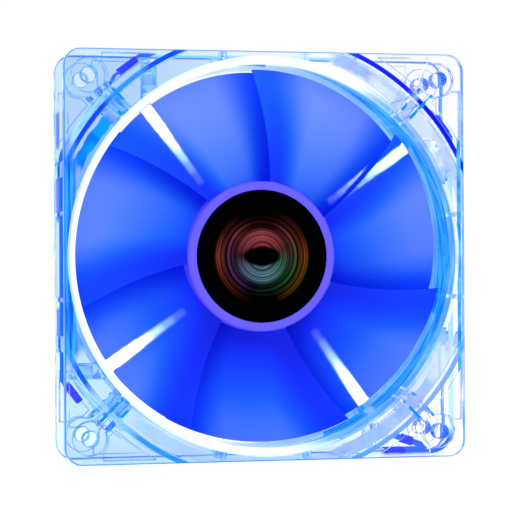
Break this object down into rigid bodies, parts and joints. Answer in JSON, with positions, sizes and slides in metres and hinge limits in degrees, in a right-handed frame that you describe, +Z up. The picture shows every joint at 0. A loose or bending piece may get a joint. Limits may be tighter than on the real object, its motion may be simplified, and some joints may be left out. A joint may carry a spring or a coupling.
{
  "type": "case fan",
  "caption": "Square clear-framed computer case fan with a translucent blue bladed impeller on ball bearings, a round hub label and lights in the corners.",
  "frame": {"origin": "centre of the frame's box, on the fan's axis and halfway through its depth", "axes": "-Y is the intake face with the hub label, +Y the outlet face with the struts, +Z up, +X to the right seen from the intake side"},
  "size_m": [0.12, 0.025, 0.12],
  "materials": {
    "clear_plastic": "gloss",
    "blue_plastic": "gloss",
    "hub_label": "gloss",
    "rear_label": "satin",
    "brass": "turned",
    "steel": "ground",
    "magnet": "matte",
    "cage": "matte",
    "copper": "enamelled wire",
    "white_plastic": "matte",
    "dark_plastic": "matte",
    "board": "solder mask",
    "chip": "matte",
    "ceramic_part": "matte",
    "led": "clear epoxy",
    "lead_metal": "tinned",
    "sleeve": "heat-shrink",
    "wire": "satin"
  },
  "bodies": {
    "housing": {"bearing_housing": "brass", "board_capacitor": "ceramic_part", "board_resistors": "chip", "circuit_board": "board", "coil_windings": "copper", "feed_sleeve": "sleeve", "frame": "clear_plastic", "front_insulator": "white_plastic", "front_outer_race": "steel", "front_shields": "steel", "hall_driver": "chip", "harness_left": "wire", "harness_right": "wire", "harness_top": "wire", "led_bottom_left": "led", "led_bottom_right": "led", "led_feed_wires": "wire", "led_leads_bottom_left": "lead_metal", "led_leads_bottom_right": "lead_metal", "led_leads_top_left": "lead_metal", "led_leads_top_right": "lead_metal", "led_top_left": "led", "led_top_right": "led", "rear_insulator": "white_plastic", "rear_label": "rear_label", "rear_outer_race": "steel", "rear_plug": "dark_plastic", "rear_shields": "steel", "sleeves_bottom_left": "sleeve", "sleeves_bottom_right": "sleeve", "sleeves_top_left": "sleeve", "sleeves_top_right": "sleeve", "stator_core": "steel", "winding_pins": "brass"},
    "rotor": {"front_inner_race": "steel", "hub_label": "hub_label", "impeller": "blue_plastic", "preload_spring": "steel", "rear_inner_race": "steel", "retaining_clip": "white_plastic", "rotor_magnet": "magnet", "rotor_shaft": "steel", "rotor_yoke": "steel", "shaft_bushing": "brass"},
    "front_ball_train": {"front_ball_cage": "cage", "front_bearing_balls": "steel"},
    "rear_ball_train": {"rear_ball_cage": "cage", "rear_bearing_balls": "steel"}
  },
  "joints": [
    {"name": "rotor_spin", "type": "hinge", "parent": "housing", "child": "rotor", "pos_m": [0, 0, 0], "axis": [0, 1, 0], "continuous": true},
    {"name": "front_balls_spin", "type": "hinge", "parent": "housing", "child": "front_ball_train", "pos_m": [0, 0.0037, 0], "axis": [0, 1, 0], "continuous": true},
    {"name": "rear_balls_spin", "type": "hinge", "parent": "housing", "child": "rear_ball_train", "pos_m": [0, 0.0094, 0], "axis": [0, 1, 0], "continuous": true}
  ],
  "couplings": [
    {"joint": "front_balls_spin", "follows": "rotor_spin", "ratio": 0.4},
    {"joint": "rear_balls_spin", "follows": "rotor_spin", "ratio": 0.4}
  ]
}
